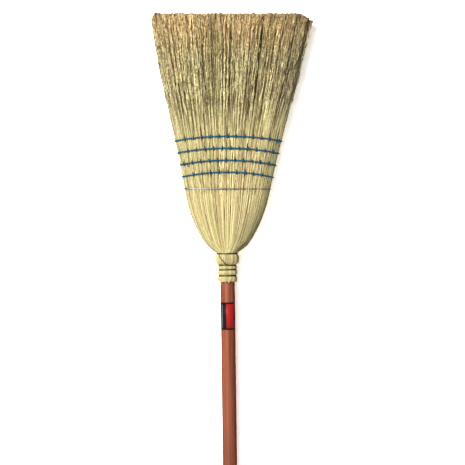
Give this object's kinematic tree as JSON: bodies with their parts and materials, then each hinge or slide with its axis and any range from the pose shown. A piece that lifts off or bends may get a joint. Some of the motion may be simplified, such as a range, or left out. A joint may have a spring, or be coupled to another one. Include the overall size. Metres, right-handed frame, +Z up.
{
  "type": "corn broom",
  "caption": "Sewn broomcorn broom, bristles up, with a flat wire-banded head and a round lacquered wooden handle, for sweeping floors or curling ice.",
  "frame": {"origin": "on the handle's axis, where the straight grip starts, 6 mm above the handle's rounded butt end", "axes": "+Z up the handle to the bristle tips, +X across the flat head to the right as seen from the labelled face, -Y out of the labelled face"},
  "size_m": [0.318, 0.056, 1.486],
  "materials": {
    "lacquered_wood": "red-brown gloss lacquer over straight grain",
    "label": "printed film, semi-gloss",
    "stems": "dry plant stalks, matt",
    "straw_outer": "dry plant fibre, matt",
    "straw_inner": "dry plant fibre, matt",
    "galvanised_wire": "zinc coated, dull",
    "blue_twine": "twisted polypropylene twine"
  },
  "bodies": {
    "root": {"back_left_bunch": "straw_outer", "back_middle_bunch": "straw_outer", "back_right_bunch": "straw_outer", "band_wire": "galvanised_wire", "core_fill": "straw_inner", "core_winding": "galvanised_wire", "end_nail": "galvanised_wire", "front_left_bunch": "straw_outer", "front_middle_bunch": "straw_outer", "front_right_bunch": "straw_outer", "handle": "lacquered_wood", "handle_label": "label", "left_shoulder": "straw_inner", "neck_stems": "stems", "neck_wire": "galvanised_wire", "right_shoulder": "straw_inner", "row_1_knot": "blue_twine", "row_1_stitches": "blue_twine", "row_1_twine": "blue_twine", "row_2_knot": "blue_twine", "row_2_stitches": "blue_twine", "row_2_twine": "blue_twine", "row_3_knot": "blue_twine", "row_3_stitches": "blue_twine", "row_3_twine": "blue_twine", "row_4_knot": "blue_twine", "row_4_stitches": "blue_twine", "row_4_twine": "blue_twine", "start_nail": "galvanised_wire"}
  },
  "joints": []
}
